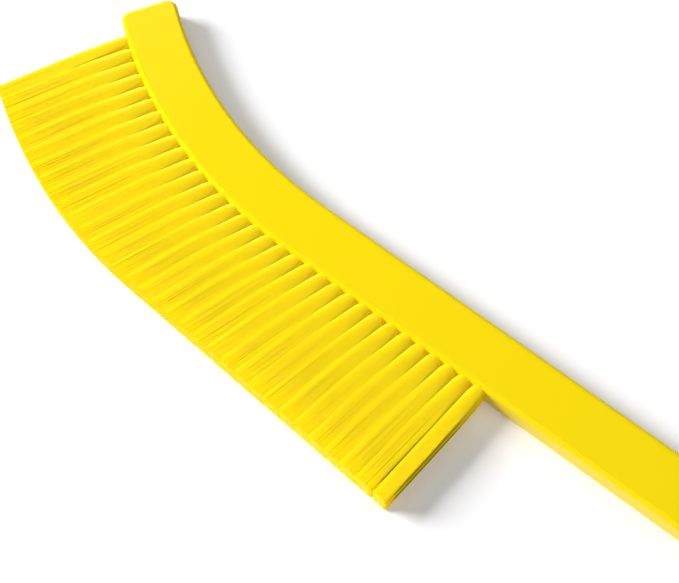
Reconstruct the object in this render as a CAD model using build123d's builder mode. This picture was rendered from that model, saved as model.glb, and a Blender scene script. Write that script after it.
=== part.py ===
from build123d import *
from math import cos, degrees, radians, sin
import os

os.makedirs("parts", exist_ok=True)

# Snow brush with an ice scraper at the grip end, lying on its wide side.
# +X runs along the handle from the brush to the scraper, bristles point to -Y, +Z is up.
# The origin is on the flat rest face, on the handle's centre line, where the curved head
# meets the straight handle.

# ---- handle ----
handle_width = 25.2          # from the bristle face to the back
handle_thickness = 12.0
face_radius = 217.0          # of the convex bristle face
edge_radius = 2.0            # of the long edges beside the bristles
tip_corner_radius = 4.6
end_slant = 2.7              # how much further the head's back reaches than its bristle face
rounding_start = 190.0       # where the edges begin to round off towards the grip
rounding_length = 50.0
grip_edge_radius = 5.6
grip_length = 95.0
neck_length = 15.0           # where the grip squares up again before the scraper

# ---- tufts ----
tuft_pitch = 7.0
tuft_count = 33              # in the upper row and in the lower row below it
heel_station = 97.1          # last tuft, along the straight bristle face
tip_margin = 13.8            # from the first tuft to the end of the head
hole_radius = 2.5
hole_depth = 10.0
side_wall = 0.6              # from the holes to the handle's wide sides
root_clearance = 0.3         # around a tuft at the bottom of its hole
spread_clearance = 0.1       # around a tuft where it is fully spread
spread_length = 64.0         # from the bristle face to where it is fully spread
lean_tip = 24.7              # lean of the first, middle and last tuft towards the head's tip
lean_middle = 18.0
lean_heel = 3.4
bottom_clearance = 0.3       # under the tuft in its hole

# ---- trimmed ends of the tufts: a straight cut that runs into an arc at the tip ----
trim_reach = 58.5            # from the bristle face, at the last tuft
trim_slope = 3.5
trim_arc_start = 140.4       # from the last tuft
trim_radius = 221.5

# ---- flat wire anchors across the folded tufts ----
anchor_thickness = 0.45
anchor_height = 1.9
anchor_bite_share = 0.22     # of the wall between two holes, at each end of an anchor
anchor_rise = 1.6            # from the hole's bottom to the anchor
slit_clearance = 0.05        # around the anchor's ends in the handle
fold_clearance = 0.1         # around the anchor in the tuft

# ---- scraper yoke and blade ----
yoke_width = 92.0
flare_length = 36.0
flare_inset = 4.0
yoke_front_length = 18.0
yoke_edge_radius = 3.0
yoke_corner_radius = 8.0
blade_thickness = 3.0
blade_reach = 40.0
blade_flare = 4.0            # on each side, from the yoke to the blade's front edge
blade_corner_radius = 4.0
bevel_length = 9.0
bevel_edge = 0.8
yoke_side_wall = 7.9         # beside the slot
tang_length = 17.5
slot_clearance = 0.1         # on each side of the tang
slot_end_gap = 0.5
rib_count = 9
rib_side_margin = 6.0
rib_length = 20.0
rib_width = 3.0
rib_height = 1.6
rib_inset = 6.0              # from the yoke's front

# ---- rivets through yoke and blade ----
rivet_count = 3
rivet_inset = 12.0           # from the sides of the tang
rivet_radius = 2.0
rivet_head_radius = 4.0
rivet_head_height = 1.4
rivet_head_edge = 0.6
rivet_clearance = 0.1
counterbore_clearance = 0.3
counterbore_depth = 1.8

# ---- hang hole ----
hang_radius = 4.5
hang_inset = 18.0            # from the start of the yoke
hang_chamfer = 0.8

# ---- worked out from the sizes above ----
half_width = handle_width / 2
mid_height = handle_thickness / 2
row_spacing = handle_thickness - 2 * (hole_radius + side_wall)
first_station = heel_station - (tuft_count - 1) * tuft_pitch
head_turn = degrees((tip_margin - first_station) / face_radius)
arc_centre_y = face_radius - half_width
back_radius = face_radius - handle_width
back_turn = head_turn + degrees(end_slant / back_radius)
rounding_end = rounding_start + rounding_length
grip_end = rounding_end + grip_length
yoke_start = grip_end + neck_length
flare_end = yoke_start + flare_length
yoke_front = flare_end + yoke_front_length
rivet_x = yoke_front - yoke_front_length / 2
tang_width = yoke_width - 2 * (yoke_side_wall + slot_clearance)
rivet_pitch = (tang_width - 2 * rivet_inset) / (rivet_count - 1)
rivet_ys = [(i - (rivet_count - 1) / 2) * rivet_pitch for i in range(rivet_count)]
rib_pitch = (yoke_width - 2 * rib_side_margin) / (rib_count - 1)
counterbore_radius = rivet_head_radius + counterbore_clearance
hang_x = yoke_start + hang_inset
blade_low = mid_height - blade_thickness / 2
blade_high = mid_height + blade_thickness / 2
blade_front = yoke_front + blade_reach
blade_front_width = yoke_width + 2 * blade_flare
root_radius = hole_radius - root_clearance
row_gap = tuft_pitch * cos(-first_station / face_radius - radians(lean_tip))
spread_width = row_gap / 2 - spread_clearance
spread_depth = min(row_spacing / 2, hole_radius + side_wall) - spread_clearance
anchor_bite = anchor_bite_share * (tuft_pitch - 2 * hole_radius)
anchor_length = 2 * (hole_radius + anchor_bite)
anchor_depth = hole_depth - anchor_rise - anchor_height / 2


def head_point(radius, angle):
    """Point of the head, by its angle from the straight handle about the arc's centre."""
    return (-radius * sin(radians(angle)), arc_centre_y - radius * cos(radians(angle)))


def lean_at(share):
    """Lean of a tuft, from 0 at the tip to 1 at the heel, by a parabola through the three leans."""
    bow = 4 * lean_middle - 2 * lean_tip - 2 * lean_heel
    return lean_tip + (lean_heel - lean_tip) * share + bow * share * (1 - share)


def tuft_plane(station, height):
    """Plane at a hole's mouth: z points out along the tuft, x along the row, y up."""
    lean = radians(lean_at((station - first_station) / (heel_station - first_station)))
    if station < 0:
        mouth = head_point(face_radius, degrees(-station / face_radius))
    else:
        mouth = (station, -half_width)
    return Plane(
        origin=(mouth[0], mouth[1], height),
        x_dir=(cos(lean), -sin(lean), 0),
        z_dir=(-sin(lean), -cos(lean), 0),
    )


def rounded_section(radius):
    """The handle's cross-section, sketched on a plane across the handle."""
    with Locations((0, mid_height)):
        RectangleRounded(handle_width, handle_thickness, radius)


def rim_edges(part, low_x, high_x):
    """Edges of a flat plate's bottom and top faces whose middles lie between two x values."""
    faces = part.faces().sort_by(Axis.Z)
    rims = faces[0].edges() + faces[-1].edges()
    return [edge for edge in rims if low_x < edge.center().X < high_x]


stations = [first_station + i * tuft_pitch for i in range(tuft_count)]
upper_planes = [tuft_plane(station, mid_height + row_spacing / 2) for station in stations]
lower_planes = [tuft_plane(station, mid_height - row_spacing / 2) for station in stations]
all_planes = upper_planes + lower_planes

# ---- yoke: the handle's flared end ----
with BuildPart() as yoke:
    with BuildSketch(Plane.XY):
        with BuildLine():
            flare = TangentArc(
                (yoke_start, half_width),
                (flare_end, yoke_width / 2 - flare_inset),
                tangent=(1, 0),
            )
            Line(flare @ 1, (yoke_front, yoke_width / 2))
            Line((yoke_front, yoke_width / 2), (yoke_front, 0))
            Line(flare @ 0, (yoke_start, 0))
            mirror(about=Plane.XZ)
        make_face()
    extrude(amount=handle_thickness)
    flare_corners = yoke.edges().filter_by(Axis.Z).filter_by_position(Axis.X, flare_end - 1, flare_end + 1)
    fillet(flare_corners, radius=yoke_corner_radius)
    fillet(rim_edges(yoke.part, yoke_start + 1, yoke_front + 1), radius=yoke_edge_radius)

# ---- handle: one moulding from the brush head to the scraper yoke ----
with BuildPart() as handle:
    with BuildSketch(Plane.XY):
        with BuildLine():
            face_end = head_point(face_radius, head_turn)
            back_end = head_point(back_radius, back_turn)
            Line((rounding_start, -half_width), (0, -half_width))
            ThreePointArc((0, -half_width), head_point(face_radius, head_turn / 2), face_end)
            Line(face_end, back_end)
            ThreePointArc(back_end, head_point(back_radius, back_turn / 2), (0, half_width))
            Line((0, half_width), (rounding_start, half_width))
            Line((rounding_start, half_width), (rounding_start, -half_width))
        make_face()
    extrude(amount=handle_thickness)
    fillet(handle.edges().filter_by(Axis.Z).sort_by(Axis.X)[:2], radius=tip_corner_radius)
    fillet(rim_edges(handle.part, -face_radius, rounding_start - 1), radius=edge_radius)

    # the edges round off towards the grip and square up again at the yoke
    with BuildSketch(Plane.YZ.offset(rounding_start)):
        rounded_section(edge_radius)
    with BuildSketch(Plane.YZ.offset(rounding_end)):
        rounded_section(grip_edge_radius)
    loft()
    with BuildSketch(Plane.YZ.offset(rounding_end)):
        rounded_section(grip_edge_radius)
    extrude(amount=grip_length)
    with BuildSketch(Plane.YZ.offset(grip_end)):
        rounded_section(grip_edge_radius)
    with BuildSketch(Plane.YZ.offset(yoke_start)):
        rounded_section(yoke_edge_radius)
    loft()
    add(yoke.part)

    # slot for the blade's tang
    with BuildSketch(Plane.YZ.offset(yoke_front)):
        with Locations((0, mid_height)):
            Rectangle(tang_width + 2 * slot_clearance, blade_thickness + 2 * slot_clearance)
    extrude(amount=-(tang_length + slot_end_gap), mode=Mode.SUBTRACT)

    # rivet holes, with a counterbore for the head at each end
    with Locations(*[(rivet_x, y, handle_thickness) for y in rivet_ys]):
        CounterBoreHole(rivet_radius + rivet_clearance, counterbore_radius, counterbore_depth)
    with BuildSketch(Plane.XY):
        with Locations(*[(rivet_x, y) for y in rivet_ys]):
            Circle(counterbore_radius)
    extrude(amount=counterbore_depth, mode=Mode.SUBTRACT)

    # hang hole
    with Locations((hang_x, 0, handle_thickness)):
        Hole(hang_radius)
    hang_edges = handle.edges(Select.LAST).filter_by(GeomType.CIRCLE)
    chamfer(hang_edges, length=hang_chamfer)

    # tuft holes, drilled along each tuft, with a slit for the anchor's two ends
    with Locations(*[plane.offset(edge_radius) for plane in all_planes]):
        Hole(hole_radius, depth=hole_depth + edge_radius)
    with Locations(*[plane.offset(-anchor_depth) for plane in all_planes]):
        Box(
            anchor_length + 2 * slit_clearance,
            anchor_thickness + 2 * slit_clearance,
            anchor_height + 2 * slit_clearance,
            mode=Mode.SUBTRACT,
        )

handle.part.label = "handle"
export_step(handle.part, "parts/handle.step")

# ---- blade: a tang for the yoke's slot, a bevelled edge and a row of ribs to break the ice ----
with BuildPart() as blade:
    with BuildSketch(Plane.XY.offset(blade_low)) as blade_outline:
        with BuildLine():
            Polyline(
                (yoke_front, -yoke_width / 2),
                (blade_front, -blade_front_width / 2),
                (blade_front, blade_front_width / 2),
                (yoke_front, yoke_width / 2),
                close=True,
            )
        make_face()
        fillet(blade_outline.vertices().sort_by(Axis.X)[2:], radius=blade_corner_radius)
    extrude(amount=blade_thickness)
    with BuildSketch(Plane.YZ.offset(yoke_front)):
        with Locations((0, mid_height)):
            Rectangle(tang_width, blade_thickness)
    extrude(amount=-tang_length)
    with BuildSketch(Plane.XZ) as bevel:
        with BuildLine():
            Polyline(
                (blade_front - bevel_length, blade_low),
                (blade_front, blade_high - bevel_edge),
                (blade_front, blade_low),
                close=True,
            )
        make_face()
    extrude(amount=blade_front_width / 2, both=True, mode=Mode.SUBTRACT)
    with BuildSketch(Plane.XY.offset(blade_high)):
        with Locations((yoke_front + rib_inset + rib_length / 2, 0)):
            with GridLocations(rib_length, rib_pitch, 1, rib_count):
                SlotOverall(rib_length, rib_width)
    extrude(amount=rib_height)
    rib_tops = blade.faces().filter_by(Axis.Z).group_by(Axis.Z)[-1]
    fillet(rib_tops.edges(), radius=rib_height / 2)
    with Locations(*[(rivet_x, y, blade_high) for y in rivet_ys]):
        Hole(rivet_radius + rivet_clearance)

blade.part.label = "scraper_blade"
export_step(blade.part, "parts/scraper_blade.step")

# ---- rivets: a shank with a domed head closed down on each cheek of the yoke ----
for number, y in enumerate(rivet_ys, start=1):
    with BuildPart() as rivet:
        with Locations((rivet_x, y, mid_height)):
            Cylinder(rivet_radius, handle_thickness - 2 * counterbore_depth)
        with Locations(
            (rivet_x, y, handle_thickness - counterbore_depth + rivet_head_height / 2),
            (rivet_x, y, counterbore_depth - rivet_head_height / 2),
        ):
            Cylinder(rivet_head_radius, rivet_head_height)
        outer_rims = rivet.edges().filter_by(GeomType.CIRCLE)
        fillet([outer_rims.sort_by(Axis.Z)[0], outer_rims.sort_by(Axis.Z)[-1]], radius=rivet_head_edge)
    rivet.part.label = f"rivet_{number}"
    export_step(rivet.part, f"parts/rivet_{number}.step")

# ---- trimming: a slab for each row, cut off where the tufts end ----
slope = radians(trim_slope)
cut_heel = (heel_station, -half_width - trim_reach)
cut_bend = (cut_heel[0] - trim_arc_start * cos(slope), cut_heel[1] + trim_arc_start * sin(slope))
cut_far = (cut_heel[0] + trim_arc_start * cos(slope), cut_heel[1] - trim_arc_start * sin(slope))
cut_centre = (cut_bend[0] + trim_radius * sin(slope), cut_bend[1] + trim_radius * cos(slope))

row_floors = [mid_height + side * row_spacing / 2 - spread_depth for side in (1, -1)]

with BuildPart() as trim:
    with BuildSketch(*[Plane.XY.offset(floor) for floor in row_floors]):
        with BuildLine():
            Line(cut_far, cut_bend)
            arc = CenterArc(cut_centre, trim_radius, 270 - trim_slope, -90)
            Line(arc @ 1, (cut_far[0], (arc @ 1).Y))
            Line((cut_far[0], (arc @ 1).Y), cut_far)
        make_face()
    extrude(amount=2 * spread_depth)
row_slabs = trim.solids().sort_by(Axis.Z, reverse=True)

# ---- tufts: each node holds an upper tuft and the lower one below it ----
tuft_span = hole_depth - bottom_clearance
for number, planes in enumerate(zip(upper_planes, lower_planes), start=1):
    with BuildPart() as tuft:
        # a cone, flattened where it would reach the other row or the wide sides
        for plane, slab in zip(planes, row_slabs):
            with Locations(plane.offset(-tuft_span)):
                cone = Cone(
                    root_radius,
                    spread_width,
                    spread_length + tuft_span,
                    align=(Align.CENTER, Align.CENTER, Align.MIN),
                    mode=Mode.PRIVATE,
                )
            add(cone & slab)
        with Locations(*[plane.offset(-anchor_depth) for plane in planes]):
            Box(
                anchor_length,
                anchor_thickness + 2 * fold_clearance,
                anchor_height + 2 * fold_clearance,
                mode=Mode.SUBTRACT,
            )
    tuft.part.label = f"tuft_{number:02d}"
    export_step(tuft.part, f"parts/tuft_{number:02d}.step")

# ---- anchors: one in each hole, grouped by row ----
for row, planes in (("upper", upper_planes), ("lower", lower_planes)):
    with BuildPart() as anchors:
        with Locations(*[plane.offset(-anchor_depth) for plane in planes]):
            Box(anchor_length, anchor_thickness, anchor_height)
    anchors.part.label = f"anchors_{row}_row"
    export_step(anchors.part, f"parts/anchors_{row}_row.step")

print("head turns", round(head_turn, 2), "degrees, blade ends at", blade_front)
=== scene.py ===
import bpy
import math
from mathutils import Matrix, Vector


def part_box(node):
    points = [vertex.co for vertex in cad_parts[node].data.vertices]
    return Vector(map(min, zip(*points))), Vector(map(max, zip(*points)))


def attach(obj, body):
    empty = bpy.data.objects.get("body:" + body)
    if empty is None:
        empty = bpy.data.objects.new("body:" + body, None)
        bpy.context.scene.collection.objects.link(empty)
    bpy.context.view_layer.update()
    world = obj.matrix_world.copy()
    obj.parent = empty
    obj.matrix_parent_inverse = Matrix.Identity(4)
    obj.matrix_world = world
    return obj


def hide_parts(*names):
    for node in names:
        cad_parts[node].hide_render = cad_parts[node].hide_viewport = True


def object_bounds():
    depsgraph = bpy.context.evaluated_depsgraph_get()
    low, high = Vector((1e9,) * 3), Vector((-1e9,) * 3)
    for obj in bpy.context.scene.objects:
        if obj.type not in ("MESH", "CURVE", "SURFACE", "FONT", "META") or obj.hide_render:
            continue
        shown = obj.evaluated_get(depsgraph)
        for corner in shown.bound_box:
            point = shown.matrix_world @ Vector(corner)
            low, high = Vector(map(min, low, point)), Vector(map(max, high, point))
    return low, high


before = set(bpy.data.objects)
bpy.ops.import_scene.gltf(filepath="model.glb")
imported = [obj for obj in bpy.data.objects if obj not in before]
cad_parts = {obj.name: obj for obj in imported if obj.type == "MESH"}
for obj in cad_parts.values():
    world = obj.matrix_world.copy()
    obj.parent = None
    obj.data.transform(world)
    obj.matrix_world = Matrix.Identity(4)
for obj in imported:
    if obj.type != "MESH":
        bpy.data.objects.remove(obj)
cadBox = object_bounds()
print("frame loaded,", len(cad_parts), "nodes")


class Wire:
    # wraps an output socket, so that shader and geometry maths reads as an expression
    def __init__(self, tree, socket):
        self.tree, self.socket = tree, socket

    def beside(self, output):
        # another output of the same node
        return Wire(self.tree, self.socket.node.outputs[output])

    def maths(self, operation, *others):
        return self.tree.maths(operation, self, *others)

    def __add__(self, other):
        return self.tree.maths("ADD", self, other)

    def __radd__(self, other):
        return self.tree.maths("ADD", other, self)

    def __sub__(self, other):
        return self.tree.maths("SUBTRACT", self, other)

    def __rsub__(self, other):
        return self.tree.maths("SUBTRACT", other, self)

    def __mul__(self, other):
        return self.tree.maths("MULTIPLY", self, other)

    def __rmul__(self, other):
        return self.tree.maths("MULTIPLY", other, self)

    def __truediv__(self, other):
        return self.tree.maths("DIVIDE", self, other)

    def __pow__(self, other):
        return self.tree.maths("POWER", self, other)


class Tree:
    # one method makes any node: its type, its settings, then the values or links of its sockets
    def __init__(self, nodeTree):
        self.nodeTree = nodeTree

    def make(self, kind, settings=None, inputs=None, output=0):
        node = self.nodeTree.nodes.new(kind)
        for name, value in (settings or {}).items():
            setattr(node, name, value)
        for key, value in (inputs or {}).items():
            if isinstance(value, Wire):
                self.nodeTree.links.new(value.socket, node.inputs[key])
            else:
                node.inputs[key].default_value = value
        return Wire(self, node.outputs[output]) if len(node.outputs) else node

    def maths(self, operation, *values):
        return self.make("ShaderNodeMath", dict(operation=operation), dict(enumerate(values)))

    def vector(self, operation, *values):
        return self.make("ShaderNodeVectorMath", dict(operation=operation), dict(enumerate(values)))

    def scaled(self, vector, factor):
        return self.make("ShaderNodeVectorMath", dict(operation="SCALE"), {0: vector, "Scale": factor})

    def mixColour(self, factor, first, second, blend="MIX"):
        return self.make("ShaderNodeMix", dict(data_type="RGBA", blend_type=blend),
                         {0: factor, 6: first, 7: second}, output=2)

    def mixVector(self, factor, first, second):
        return self.make("ShaderNodeMix", dict(data_type="VECTOR"),
                         {0: factor, 4: first, 5: second}, output=1)

    def noise(self, scale, detail):
        place = self.make("ShaderNodeTexCoord", output="Object")
        return self.make("ShaderNodeTexNoise", {}, {"Vector": place, "Scale": scale, "Detail": detail})


def newMaterial(name):
    material = bpy.data.materials.new(name)
    material.use_nodes = True
    material.node_tree.nodes.clear()
    return material, Tree(material.node_tree)


def finishMaterial(tree, sockets):
    shader = tree.make("ShaderNodeBsdfPrincipled", {}, sockets)
    tree.make("ShaderNodeOutputMaterial", {}, {"Surface": shader})


def giveMaterial(obj, material):
    if not obj.material_slots:
        obj.data.materials.append(material)
    for slot in obj.material_slots:
        slot.material = material


def addObject(name, data):
    obj = bpy.data.objects.new(name, data)
    bpy.context.scene.collection.objects.link(obj)
    return obj


# moulded yellow plastic: faint clouding of the colour and gloss, and a very fine grain
handleLook = dict(
    colour=(0.99, 0.75, 0.0, 1), deepColour=(0.985, 0.735, 0.0, 1), cloudScale=14.0, cloudDetail=3.0,
    roughness=0.3, roughnessSpread=0.06, specular=0.35,
    grainScale=2600.0, grainDetail=2.0, grainDepth=0.00001)
bladeLook = dict(handleLook, roughness=0.28)


def plasticMaterial(name, look):
    material, tree = newMaterial(name)
    cloud = tree.noise(look["cloudScale"], look["cloudDetail"])
    grain = tree.noise(look["grainScale"], look["grainDetail"])
    finishMaterial(tree, {
        "Base Color": tree.mixColour(cloud, look["colour"], look["deepColour"]),
        "Roughness": look["roughness"] + (cloud - 0.5) * look["roughnessSpread"],
        "Normal": tree.make("ShaderNodeBump", {}, {"Height": grain, "Distance": look["grainDepth"]}),
        "Specular IOR Level": look["specular"]})
    return material


giveMaterial(bpy.data.objects["handle"], plasticMaterial("handlePlastic", handleLook))
giveMaterial(bpy.data.objects["scraper_blade"], plasticMaterial("bladePlastic", bladeLook))
print("plastics done")

# rivets and tuft anchors
rivetLook = dict(
    colour=(0.62, 0.63, 0.64, 1), roughness=0.3, roughnessSpread=0.15, brushScale=900.0, brushDetail=2.0)
anchorLook = dict(rivetLook, roughness=0.22)


def steelMaterial(name, look):
    material, tree = newMaterial(name)
    brushed = tree.noise(look["brushScale"], look["brushDetail"])
    finishMaterial(tree, {
        "Base Color": look["colour"],
        "Metallic": 1.0,
        "Roughness": look["roughness"] + (brushed - 0.5) * look["roughnessSpread"]})
    return material


steels = dict(
    rivet_=steelMaterial("rivetSteel", rivetLook),
    anchors_=steelMaterial("anchorSteel", anchorLook))
for start, steel in steels.items():
    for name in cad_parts:
        if name.startswith(start):
            giveMaterial(bpy.data.objects[name], steel)
print("steels done")

# where the tufts stand, as the handle is drilled, and the cut that trims them; leans in degrees
brush = dict(
    pitch=0.007, stations=33, heelStation=0.0971, faceRadius=0.217, faceY=-0.0126,
    leanTip=24.7, leanMiddle=18.0, leanHeel=3.4, holeRadius=0.0025, sideWall=0.0006,
    trimReach=0.0585, trimSlope=3.5, trimArcStart=0.1404, trimRadius=0.2215)
# how far each bundle's pattern is turned from the next, in radians for a station and for a metre of height
patternTurn = dict(station=1.7, height=300.0)

handleLow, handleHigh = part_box("handle")
midHeight = (handleLow[2] + handleHigh[2]) / 2
rowOffset = midHeight - brush["holeRadius"] - brush["sideWall"]  # of each row from the middle
firstStation = brush["heelStation"] - (brush["stations"] - 1) * brush["pitch"]


def tuftRoot(station):
    # mouth of a tuft's hole on the bristle face, and the way the tuft points
    share = (station - firstStation) / (brush["heelStation"] - firstStation)
    bow = 4 * brush["leanMiddle"] - 2 * brush["leanTip"] - 2 * brush["leanHeel"]
    lean = brush["leanTip"] + (brush["leanHeel"] - brush["leanTip"]) * share + bow * share * (1 - share)
    lean = math.radians(lean)
    turn = max(0.0, -station / brush["faceRadius"])
    mouth = Vector((max(station, 0.0), brush["faceY"], 0.0))
    mouth += Vector((-math.sin(turn), 1 - math.cos(turn), 0.0)) * brush["faceRadius"]
    return mouth, Vector((-math.sin(lean), -math.cos(lean), 0.0))


slope = math.radians(brush["trimSlope"])
cutWay = Vector((-math.cos(slope), math.sin(slope), 0.0))
cutNormal = Vector((-cutWay.y, cutWay.x, 0.0))
cutHeel = Vector((brush["heelStation"], brush["faceY"] - brush["trimReach"], 0.0))
cutBend = cutHeel + cutWay * brush["trimArcStart"]
cutCentre = cutBend + Vector((math.sin(slope), math.cos(slope), 0.0)) * brush["trimRadius"]


def trimPoint(mouth, way):
    # where a tuft meets the trimming cut, and the direction of the cut there
    end = mouth + way * ((cutHeel - mouth).dot(cutNormal) / way.dot(cutNormal))
    if (end - cutBend).dot(cutWay) < 0:
        return end, -cutWay
    offset = mouth - cutCentre
    along = offset.dot(way)
    reach = -along + math.sqrt(along * along - offset.length_squared + brush["trimRadius"] ** 2)
    end = mouth + way * reach
    radial = (end - cutCentre).normalized()
    return end, Vector((-radial.y, radial.x, 0.0))


# one tuft's filaments: a closed shell of them around an even spiral
bundle = dict(
    filaments=140, shell=62, innerRadius=0.88, spiralTurn=2.39996, radius=0.00026, sides=4, steps=6,
    crowding=1.6, rootDepth=0.0012, mouthSpread=0.0021, bulgeSpread=0.00305, tipSpread=0.00304,
    swelling=40.0, merge=0.3, height=0.00244, swing=0.09, pull=0.04, lengthJitter=0.0003,
    roundness=0.25, joining=2.6, flatness=0.85, seed=11)


def filamentTree(material):
    # grows a bundle on each point: tight in its hole, swelling out of it, then fanning to the cut
    group = bpy.data.node_groups.new("filamentBundles", "GeometryNodeTree")
    tree = Tree(group)
    group.interface.new_socket("Geometry", in_out="INPUT", socket_type="NodeSocketGeometry")
    for name, value in bundle.items():
        kind = "NodeSocketInt" if isinstance(value, int) else "NodeSocketFloat"
        group.interface.new_socket(name, in_out="INPUT", socket_type=kind)
    group.interface.new_socket("Geometry", in_out="OUTPUT", socket_type="NodeSocketGeometry")
    given = tree.make("NodeGroupInput")
    size = {name: given.beside(name) for name in bundle}

    def stored(name, kind="FLOAT"):
        return tree.make("GeometryNodeInputNamedAttribute", dict(data_type=kind), {"Name": name})

    def keep(geometry, name, value, kind="FLOAT"):
        return tree.make("GeometryNodeStoreNamedAttribute", dict(data_type=kind, domain="POINT"),
                         {"Geometry": geometry, "Name": name, "Value": value})

    def random(low, high, salt):
        return tree.make("FunctionNodeRandomValue", dict(data_type="FLOAT"),
                         {2: low, 3: high, "Seed": size["seed"] + salt}, output=1)

    points = tree.make("GeometryNodeDuplicateElements", dict(domain="POINT"),
                       {"Geometry": given, "Amount": size["filaments"]})
    number = points.beside("Duplicate Index")

    # each filament's place in the hole, and at the cut, where it has swung a little
    inShell = number.maths("LESS_THAN", size["shell"])
    inner = (number - size["shell"] + 0.5).maths("MAXIMUM", 0.0)
    inner = size["innerRadius"] * (inner / (size["filaments"] - size["shell"])) ** 0.5
    out = inShell + (1 - inShell) * inner
    spiral = number * size["spiralTurn"]
    angle = inShell * (number * (2 * math.pi) / size["shell"] - spiral) + spiral + stored("turn")
    tipOut = out * (1 - size["pull"] * random(0.0, 1.0, 1))
    tipAngle = angle + size["swing"] * random(-1.0, 1.0, 2)
    facts = dict(
        mouthRow=out * angle.maths("COSINE"), mouthHeight=out * angle.maths("SINE"),
        tipRow=tipOut * tipAngle.maths("COSINE"), tipHeight=tipOut * tipAngle.maths("SINE"),
        inShell=inShell, shiftLength=random(-1.0, 0.0, 3), tone=random(0.0, 1.0, 4))
    for name, value in facts.items():
        points = keep(points, name, value)

    line = tree.make("GeometryNodeCurvePrimitiveLine", {}, {"Start": (0, 0, 0), "End": (0, 0, 1)})
    line = tree.make("GeometryNodeResampleCurve", {}, {"Curve": line, "Count": size["steps"] + 1})
    strands = tree.make("GeometryNodeInstanceOnPoints", {}, {"Points": points, "Instance": line})
    strands = tree.make("GeometryNodeRealizeInstances", {}, {"Geometry": strands})
    along = tree.make("GeometryNodeSplineParameter") ** size["crowding"]  # more points near the hole
    strands = keep(strands, "along", along)

    # half-widths along the row and in height; neighbouring tufts close up into one flat sheet
    swollen = 1 - (1 - along) ** size["swelling"]
    joined = (size["joining"] * along).maths("MINIMUM", 1.0)
    spread = size["mouthSpread"] + (size["bulgeSpread"] - size["mouthSpread"]) * swollen
    spread = spread + (size["tipSpread"] - size["bulgeSpread"]) * along
    spread = spread * (1 + size["merge"] * stored("inner") * joined)
    depth = size["mouthSpread"] + (size["height"] - size["mouthSpread"]) * swollen
    row = stored("mouthRow") * (1 - along) + stored("tipRow") * along
    rise = stored("mouthHeight") * (1 - along) + stored("tipHeight") * along
    flatter = 1 - size["flatness"] * joined * stored("inShell")
    rise = rise.maths("SIGN") * rise.maths("ABSOLUTE") ** flatter

    way = stored("way", "FLOAT_VECTOR")
    rowAxis = tree.mixVector(along, stored("rowAxis", "FLOAT_VECTOR"), stored("cutAxis", "FLOAT_VECTOR"))
    start = tree.scaled(way, size["rootDepth"])
    start = tree.vector("SUBTRACT", stored("mouth", "FLOAT_VECTOR"), start)
    end = tree.scaled(way, size["lengthJitter"] * stored("shiftLength"))
    end = tree.vector("ADD", stored("end", "FLOAT_VECTOR"), end)
    place = tree.vector("ADD", tree.mixVector(along, start, end), tree.scaled(rowAxis, row * spread))
    lift = tree.make("ShaderNodeCombineXYZ", {}, {"Z": rise * depth})
    facing = tree.scaled(rowAxis, row * size["roundness"] * (1 - joined))
    facing = tree.vector("ADD", facing, tree.make("ShaderNodeCombineXYZ", {}, {"Z": rise}))
    strands = keep(strands, "bundleNormal", tree.vector("NORMALIZE", facing), "FLOAT_VECTOR")
    strands = tree.make("GeometryNodeSetPosition", {},
                        {"Geometry": strands, "Position": tree.vector("ADD", place, lift)})

    ring = tree.make("GeometryNodeCurvePrimitiveCircle", {},
                     {"Resolution": size["sides"], "Radius": size["radius"]})
    tubes = tree.make("GeometryNodeCurveToMesh", {},
                      {"Curve": strands, "Profile Curve": ring, "Fill Caps": True})
    tubes = tree.make("GeometryNodeSetShadeSmooth", {}, {"Geometry": tubes})
    tubes = tree.make("GeometryNodeRealizeInstances", {}, {"Geometry": tubes})
    tubes = tree.make("GeometryNodeSetMaterial", {}, {"Geometry": tubes, "Material": material})
    tree.make("NodeGroupOutput", {}, {"Geometry": tubes})
    return group


filament = dict(
    colour=(0.99, 0.73, 0.0, 1), rootShadeColour=(0.985, 0.7, 0.0, 1), rootShadeFade=4.0, toneSpread=0.03,
    roughness=0.3, roughnessSpread=0.1, streakScale=1400.0, streakDetail=2.0,
    bundling=0.92, endSharpness=8.0, specular=0.35,
    paintedGlow=0.235)  # painted glow: emission that stands for light scattered inside the translucent bundle


def filamentMaterial(look):
    # filaments in a tight bundle shade mostly as one rounded body
    material, tree = newMaterial("filamentYellow")
    along = tree.make("ShaderNodeAttribute", dict(attribute_name="along"), output="Fac")
    tone = tree.make("ShaderNodeAttribute", dict(attribute_name="tone"), output="Fac")
    bundleNormal = tree.make("ShaderNodeAttribute", dict(attribute_name="bundleNormal"), output="Vector")
    streak = tree.noise(look["streakScale"], look["streakDetail"])
    # painted shade: the filaments are a deeper yellow near their roots, where the bundle shades itself
    near = (along * look["rootShadeFade"]).maths("MINIMUM", 1.0)
    shade = 1 - look["toneSpread"] * tone
    grey = tree.make("ShaderNodeCombineColor", {}, {0: shade, 1: shade, 2: shade})
    colour = tree.mixColour(near, look["rootShadeColour"], look["colour"])
    colour = tree.mixColour(1.0, colour, grey, "MULTIPLY")
    share = look["bundling"] * (1 - along ** look["endSharpness"])  # the cut ends keep their own normals
    own = tree.make("ShaderNodeNewGeometry", output="Normal")
    normal = tree.vector("ADD", tree.scaled(own, 1 - share), tree.scaled(bundleNormal, share))
    finishMaterial(tree, {
        "Base Color": colour,
        "Roughness": look["roughness"] + (streak - 0.5) * look["roughnessSpread"],
        "Specular IOR Level": look["specular"],
        # painted glow: the filaments emit their own colour on top of the lamps' light
        "Emission Color": colour,
        "Emission Strength": look["paintedGlow"],
        "Normal": tree.vector("NORMALIZE", normal)})
    return material


bundleTree = filamentTree(filamentMaterial(filament))


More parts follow.
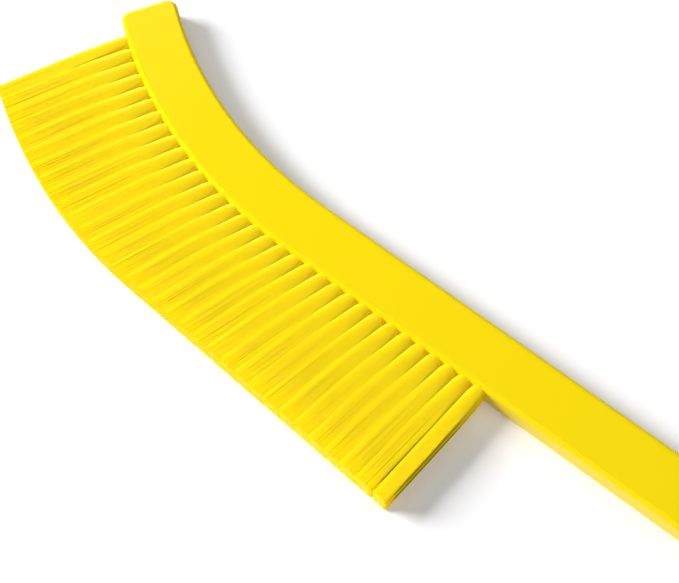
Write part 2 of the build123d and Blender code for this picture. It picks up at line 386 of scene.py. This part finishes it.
def tuftPoints(name, stations):
    # a mesh of loose points, one for each upper and lower tuft, with what the tree reads from them
    points, facts = [], dict(mouth=[], end=[], way=[], rowAxis=[], cutAxis=[], turn=[], inner=[])
    for station in stations:
        mouth, way = tuftRoot(firstStation + station * brush["pitch"])
        end, cutAxis = trimPoint(mouth, way)
        rowAxis = Vector((-way.y, way.x, 0.0))
        for height in (midHeight + rowOffset, midHeight - rowOffset):
            up = Vector((0, 0, height))
            points.append(mouth + up)
            placed = dict(mouth=mouth + up, end=end + up, way=way, rowAxis=rowAxis, cutAxis=cutAxis)
            for key, value in placed.items():
                facts[key].extend(value)
            facts["turn"].append(station * patternTurn["station"] + height * patternTurn["height"])
            facts["inner"].append(float(0 < station < brush["stations"] - 1))
    mesh = bpy.data.meshes.new(name)
    mesh.from_pydata(points, [], [])
    for key, values in facts.items():
        single = len(values) == len(points)
        attribute = mesh.attributes.new(key, "FLOAT" if single else "FLOAT_VECTOR", "POINT")
        attribute.data.foreach_set("value" if single else "vector", values)
    return mesh


def growFilaments(name, stations):
    # runs the tree on these stations' points and keeps the result as a plain mesh
    seed = addObject(name + "Seed", tuftPoints(name + "Points", stations))
    modifier = seed.modifiers.new("bundles", "NODES")
    modifier.node_group = bundleTree
    for socket in bundleTree.interface.items_tree:
        if socket.in_out == "INPUT" and socket.name in bundle:
            modifier[socket.identifier] = bundle[socket.name]
    evaluated = seed.evaluated_get(bpy.context.evaluated_depsgraph_get())
    grown = bpy.data.meshes.new_from_object(evaluated)
    grown.name = name
    bpy.data.objects.remove(seed)
    return addObject(name, grown)


thirds = dict(tipFilaments=range(0, 11), middleFilaments=range(11, 22), heelFilaments=range(22, 33))
for name, stations in thirds.items():
    piece = growFilaments(name, stations)
    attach(piece, "root")
    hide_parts(*["tuft_%02d" % (station + 1) for station in stations])
    print(name, len(piece.data.vertices), "points", len(piece.data.polygons), "faces")

# pale floor, lifted towards white where it is seen directly or in a reflection
floorLook = dict(size=12.0, colour=(0.9, 0.9, 0.93, 1), lift=0.145)
material, tree = newMaterial("floorWhite")
matt = tree.make("ShaderNodeBsdfDiffuse", {}, {"Color": floorLook["colour"]})
ray = tree.make("ShaderNodeLightPath", output="Is Camera Ray")
seen = ray + ray.beside("Is Glossy Ray") + ray.beside("Is Transmission Ray")
glow = tree.make("ShaderNodeEmission", {}, {"Color": (1, 1, 1, 1), "Strength": seen * floorLook["lift"]})
lit = tree.make("ShaderNodeAddShader", {}, {0: matt, 1: glow})
tree.make("ShaderNodeOutputMaterial", {}, {"Surface": lit})
half, low = floorLook["size"] / 2, cadBox[0][2]
corners = [(-half, -half, low), (half, -half, low), (half, half, low), (-half, half, low)]
floorMesh = bpy.data.meshes.new("floor")
floorMesh.from_pydata(corners, [], [(0, 1, 2, 3)])
floor = addObject("floor", floorMesh)
giveMaterial(floor, material)
print("floor done")

# soft studio light, all aimed at the handle's rest point; places and widths in metres, power in watts
lamps = dict(
    keyLamp=dict(place=(-2.41, -1.06, 1.5), width=1.3, power=134.0, glossy=False),
    topLamp=dict(place=(0.35, -0.3, 3.0), width=5.0, power=48.0, glossy=False),
    sheenLamp=dict(place=(-1.33, 0.85, 1.22), width=0.3, power=4.0, glossy=True))
for name, look in lamps.items():
    light = bpy.data.lights.new(name, "AREA")
    light.size = look["width"]
    light.energy = look["power"]
    lamp = addObject(name, light)
    lamp.location = look["place"]
    lamp.rotation_euler = (-Vector(look["place"])).to_track_quat("-Z", "Y").to_euler()
    lamp.visible_glossy = look["glossy"]
worldLook = dict(colour=(1, 1, 1, 1), strength=0.02)
world = bpy.data.worlds.new("studio")
bpy.context.scene.world = world
world.use_nodes = True
background = world.node_tree.nodes["Background"]
background.inputs["Color"].default_value = worldLook["colour"]
background.inputs["Strength"].default_value = worldLook["strength"]
print("light done")

# camera: where it aims, how far off it stands, and its angles in degrees
view = dict(
    aim=(0.02764, -0.01222, 0.006), distance=0.56256, azimuth=41.13, elevation=64.87, roll=-2.66,
    lens=74.23, clip=(0.01, 20.0))
azimuth, elevation = math.radians(view["azimuth"]), math.radians(view["elevation"])
level = Vector((math.sin(azimuth), -math.cos(azimuth), 0.0))
back = level * math.cos(elevation) + Vector((0.0, 0.0, math.sin(elevation)))
turned = back.to_track_quat("Z", "Y").to_matrix() @ Matrix.Rotation(math.radians(view["roll"]), 3, "Z")
camera = addObject("camera", bpy.data.cameras.new("camera"))
camera.location = Vector(view["aim"]) + back * view["distance"]
camera.rotation_euler = turned.to_euler()
camera.data.lens = view["lens"]
camera.data.clip_start, camera.data.clip_end = view["clip"]
bpy.context.scene.camera = camera
bpy.context.scene.view_settings.view_transform = "Standard"
print("camera done")
